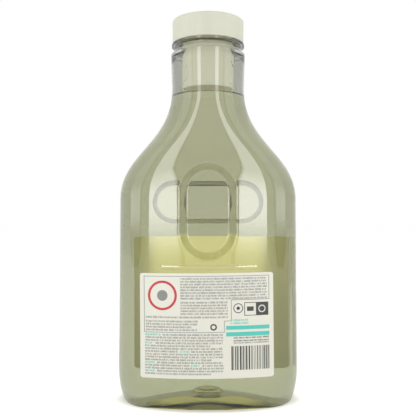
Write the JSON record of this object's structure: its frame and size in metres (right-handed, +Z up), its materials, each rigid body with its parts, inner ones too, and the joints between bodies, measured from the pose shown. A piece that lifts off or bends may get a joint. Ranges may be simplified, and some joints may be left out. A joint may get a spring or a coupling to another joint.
{
  "type": "laundry detergent bottle",
  "caption": "Flat oval clear bottle of liquid laundry detergent with grip pockets pressed into both faces, a round neck and a white cap that carries a measuring cup.",
  "frame": {"origin": "middle of the base, on the surface that the bottle stands on", "axes": "+Z up the neck to the cap, X across the broad faces, -Y out of the back face that carries the tall thumb pocket and the text label, +Y out of the front face"},
  "size_m": [0.1208, 0.06, 0.2551],
  "materials": {
    "clear_plastic": "clear blown plastic with a faint grey-green tint, glossy",
    "detergent_liquid": "clear pale yellow-green liquid",
    "white_plastic": "moulded off-white plastic, satin",
    "back_label_film": "white printed film label",
    "front_label_film": "white printed film label, its plain back seen through the bottle"
  },
  "bodies": {
    "filled_bottle": {"bottle": "clear_plastic", "detergent": "detergent_liquid", "back_label": "back_label_film", "front_label": "front_label_film"},
    "cap": {"dosing_cap": "white_plastic"}
  },
  "joints": [
    {"name": "cap_lift", "type": "slide", "parent": "filled_bottle", "child": "cap", "axis": [0, 0, 1], "range_m": [0, 0.06]}
  ]
}
